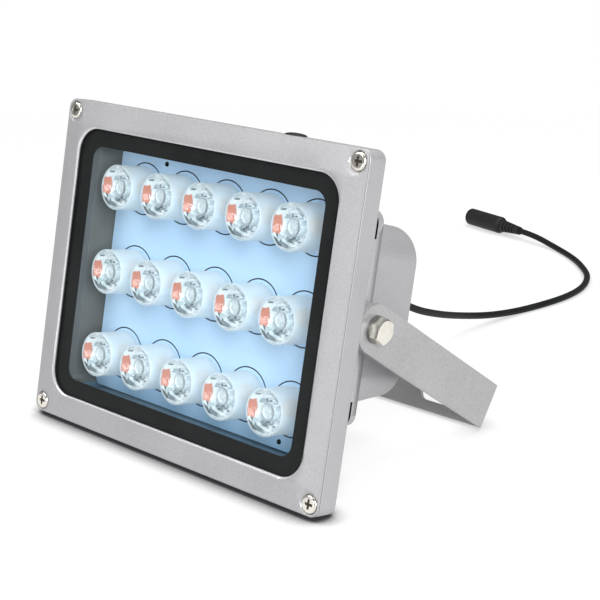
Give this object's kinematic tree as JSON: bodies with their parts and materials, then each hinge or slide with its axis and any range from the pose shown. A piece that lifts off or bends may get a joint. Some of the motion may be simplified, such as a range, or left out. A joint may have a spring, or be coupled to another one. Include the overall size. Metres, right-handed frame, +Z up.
{
  "type": "led floodlight",
  "caption": "Outdoor LED floodlight: framed glass over lens LEDs, cast housing with a rear cover, tilting U bracket and a black low-voltage cord with an in-line socket.",
  "frame": {"origin": "centre of the footprint of the lamp and its bracket on the ground, without the cord and its connector", "axes": "+Z up, the glass faces -Y and leans back, X along the width, the bracket's crossbar and the cord lie towards +Y"},
  "size_m": [0.2485, 0.441, 0.146],
  "materials": {
    "silver_casting": "satin silver paint",
    "silver_strip": "satin",
    "clear_glass": "polished",
    "clear_acrylic": "polished",
    "black_rubber": "matte",
    "grey_pad": "matte",
    "nickel_screw": "bright",
    "dark_steel": "satin",
    "brass_post": "bright",
    "board_mask": "satin",
    "green_board": "satin",
    "emitter": "gloss",
    "component": "satin",
    "lead_cover": "satin",
    "black_plastic": "matte",
    "cord_jacket": "satin",
    "contact_metal": "bright"
  },
  "bodies": {
    "bracket": {"bracket": "silver_strip", "power_cord": "cord_jacket", "connector_relief": "black_plastic", "connector_body": "black_plastic", "connector_sleeve": "contact_metal", "connector_pin": "contact_metal"},
    "head": {"front_frame": "silver_casting", "front_glass": "clear_glass", "glass_gasket": "black_rubber", "main_housing": "silver_casting", "frame_screws": "nickel_screw", "thermal_pad": "grey_pad", "led_board": "board_mask", "board_pins": "dark_steel", "led_emitters": "emitter", "lenses": "clear_acrylic", "driver_board": "green_board", "driver_standoffs": "brass_post", "driver_screws": "nickel_screw", "driver_capacitors": "component", "driver_inductor": "component", "driver_chips": "component", "led_leads": "lead_cover", "supply_leads": "lead_cover", "sensor_lead": "lead_cover", "light_sensor_cap": "black_plastic", "light_sensor_cell": "component", "rear_cover": "silver_casting", "cover_gasket": "black_rubber", "cover_screws": "nickel_screw", "gland_body": "black_plastic", "gland_nut": "black_plastic", "gland_seal": "black_rubber", "gland_locknut": "black_plastic", "cord_tail": "cord_jacket", "pivot_bolts": "nickel_screw", "spring_washers": "dark_steel"}
  },
  "joints": [
    {"name": "head_tilt", "type": "hinge", "parent": "bracket", "child": "head", "pos_m": [0, -0.02147, 0.06718], "axis": [1, 0, 0], "range_deg": [-121, 75]}
  ]
}
